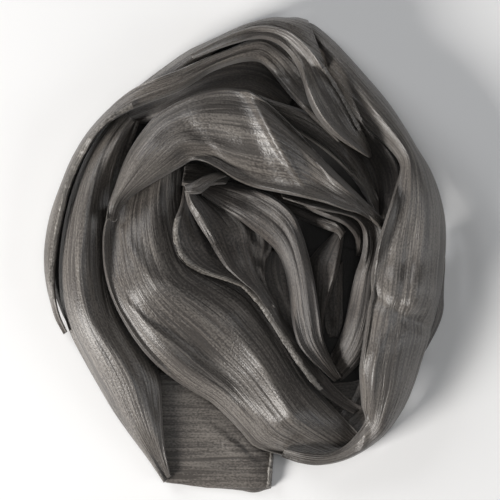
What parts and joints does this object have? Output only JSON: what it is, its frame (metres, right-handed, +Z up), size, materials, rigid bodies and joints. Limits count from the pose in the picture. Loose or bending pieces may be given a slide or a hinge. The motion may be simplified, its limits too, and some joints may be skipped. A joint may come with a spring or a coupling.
{
  "type": "hijab",
  "caption": "Dark taupe crinkled satin hijab gathered lengthwise and laid down flat in a loose swirled heap, with a narrow puckered hem.",
  "frame": {"origin": "on the table, under the middle of the heap's box", "axes": "+X to the right and +Y away as the heap is seen from above, +Z up"},
  "size_m": [0.2764, 0.3272, 0.0664],
  "materials": {
    "satin": "crinkle-pleated satin weave, dark taupe, soft lengthwise sheen",
    "rolled_hem": "narrow rolled and puckered hem of the same satin, stitched",
    "hidden_satin": "the same satin in the shade of the inner layers"
  },
  "bodies": {
    "root": {"hidden_layers": "hidden_satin", "tail_end": "satin", "under_fold": "satin", "well_floor": "satin", "well_panel": "satin", "heart_tongue": "satin", "heart_petal": "satin", "back_panel": "satin", "inner_wall": "satin", "inner_top": "satin", "inner_petal": "satin", "strand_fold": "satin", "left_strand": "satin", "outer_left": "satin", "top_roll": "satin", "bottom_turn": "satin", "inner_lip_low": "satin", "inner_lip": "satin", "front_band": "satin", "hem_sheet": "satin", "left_panel": "satin", "left_roll": "satin", "centre_band": "satin", "centre_return": "satin", "tuck_panel": "satin", "tuck_strip": "satin", "top_outer": "satin", "over_band": "satin", "right_band": "satin", "left_hem": "rolled_hem", "sheet_hem": "rolled_hem", "upper_right_hem": "rolled_hem", "tail_hem": "rolled_hem"}
  },
  "joints": []
}
